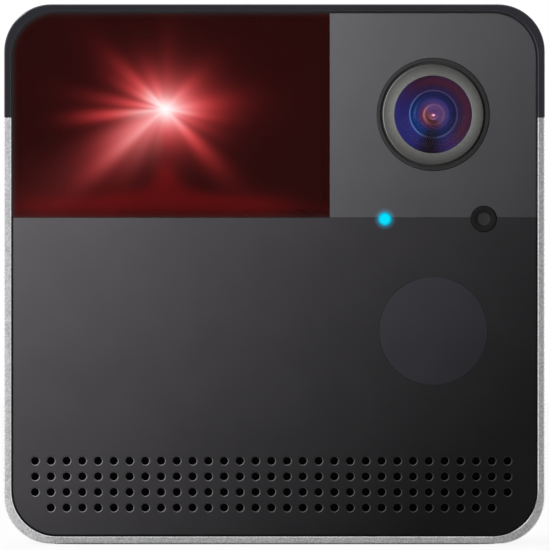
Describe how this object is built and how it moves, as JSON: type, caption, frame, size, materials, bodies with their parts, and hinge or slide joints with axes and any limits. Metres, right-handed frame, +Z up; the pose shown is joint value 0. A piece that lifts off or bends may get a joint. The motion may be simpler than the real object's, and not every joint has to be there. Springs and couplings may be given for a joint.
{
  "type": "pet camera",
  "caption": "Cube pet camera in an aluminium sleeve: domed lens, speaker grille and a red window over a geared pan-and-tilt laser pointer, with a tripod thread and a power inlet.",
  "frame": {"origin": "on the resting plane of the base pad, under the middle of the cube", "axes": "+Z up, front with the lens faces -Y, +X to the right when looking at the front"},
  "size_m": [0.1016, 0.1016, 0.1016],
  "materials": {
    "sleeve_aluminium": "bead_blasted",
    "visor_black": "satin",
    "panel_black": "satin",
    "camera_panel_black": "satin",
    "frame_black": "moulded",
    "window_red": "tinted",
    "bezel_black": "satin",
    "ring_grey": "anodised",
    "lens_coated": "coated",
    "optics_black": "matte",
    "light_cyan": "diffusing",
    "sensor_smoke": "gloss",
    "round_window_black": "satin",
    "mesh_black": "woven",
    "foam_black": "foam",
    "pad_rubber": "matte",
    "board_green": "solder_mask",
    "chip_black": "matte",
    "can_steel": "plated",
    "screw_steel": "plated",
    "screw_black": "blackened",
    "sink_aluminium": "anodised",
    "ribbon_amber": "flexible",
    "insert_brass": "turned",
    "gear_ivory": "moulded",
    "laser_brass": "turned",
    "laser_ruby": "lit",
    "inner_grey": "moulded"
  },
  "bodies": {
    "case": {"case_sleeve": "sleeve_aluminium", "top_visor": "visor_black", "front_frame": "frame_black", "lower_panel": "panel_black", "camera_panel": "camera_panel_black", "laser_window": "window_red", "lens_bezel": "bezel_black", "lens_ring": "ring_grey", "lens_glass": "lens_coated", "lens_barrel": "optics_black", "lens_inner_element": "lens_coated", "lens_holder": "optics_black", "image_sensor": "chip_black", "camera_board": "board_green", "camera_ribbon": "ribbon_amber", "camera_screws": "screw_steel", "light_pipe": "light_cyan", "sensor_bezel": "bezel_black", "sensor_lens": "sensor_smoke", "indicator_board": "board_green", "status_led": "light_cyan", "light_sensor": "chip_black", "motion_window": "round_window_black", "motion_sensor": "can_steel", "grille_mesh": "mesh_black", "speaker_gasket": "foam_black", "speaker_frame": "inner_grey", "speaker_cone": "optics_black", "speaker_magnet": "can_steel", "microphone": "can_steel", "chassis": "inner_grey", "frame_screws": "screw_steel", "main_board": "board_green", "board_screws": "screw_steel", "processor": "chip_black", "heat_sink": "sink_aluminium", "radio_module": "can_steel", "capacitors": "chip_black", "power_inlet": "frame_black", "inlet_pin": "can_steel", "reset_switch": "chip_black", "rear_cover": "panel_black", "cover_screws": "screw_black", "base_pad": "pad_rubber", "tripod_insert": "insert_brass", "laser_deck": "frame_black", "deck_screws": "screw_steel", "laser_shroud": "optics_black", "pan_motor": "can_steel", "pan_pivot": "can_steel"},
    "pan_head": {"pan_gear": "gear_ivory", "pan_yoke": "inner_grey", "tilt_motor": "can_steel"},
    "pan_drive": {"pan_pinion": "laser_brass"},
    "tilt_head": {"laser_cradle": "inner_grey", "tilt_sector": "gear_ivory", "laser_module": "laser_brass", "laser_lens": "laser_ruby"},
    "tilt_drive": {"tilt_pinion": "laser_brass"},
    "reset": {"reset_button": "inner_grey"}
  },
  "joints": [
    {"name": "laser_pan", "type": "hinge", "parent": "case", "child": "pan_head", "pos_m": [-0.02048, -0.03, 0.064], "axis": [0, 0, 1], "range_deg": [-45, 45]},
    {"name": "pan_pinion_spin", "type": "hinge", "parent": "case", "child": "pan_drive", "pos_m": [-0.02048, -0.0145, 0.062], "axis": [0, 0, 1], "range_deg": [-156, 156]},
    {"name": "laser_tilt", "type": "hinge", "parent": "pan_head", "child": "tilt_head", "pos_m": [-0.02048, -0.03, 0.0819], "axis": [1, 0, 0], "range_deg": [-20, 35]},
    {"name": "tilt_pinion_spin", "type": "hinge", "parent": "pan_head", "child": "tilt_drive", "pos_m": [-0.02048, -0.03, 0.0694], "axis": [1, 0, 0], "range_deg": [-92, 54]},
    {"name": "reset_press", "type": "slide", "parent": "case", "child": "reset", "axis": [0, -1, 0], "range_m": [0, 0.0005], "stiffness_N_per_m": 400}
  ],
  "couplings": [
    {"joint": "pan_pinion_spin", "follows": "laser_pan", "ratio": -3.4286},
    {"joint": "tilt_pinion_spin", "follows": "laser_tilt", "ratio": -2.5714}
  ]
}
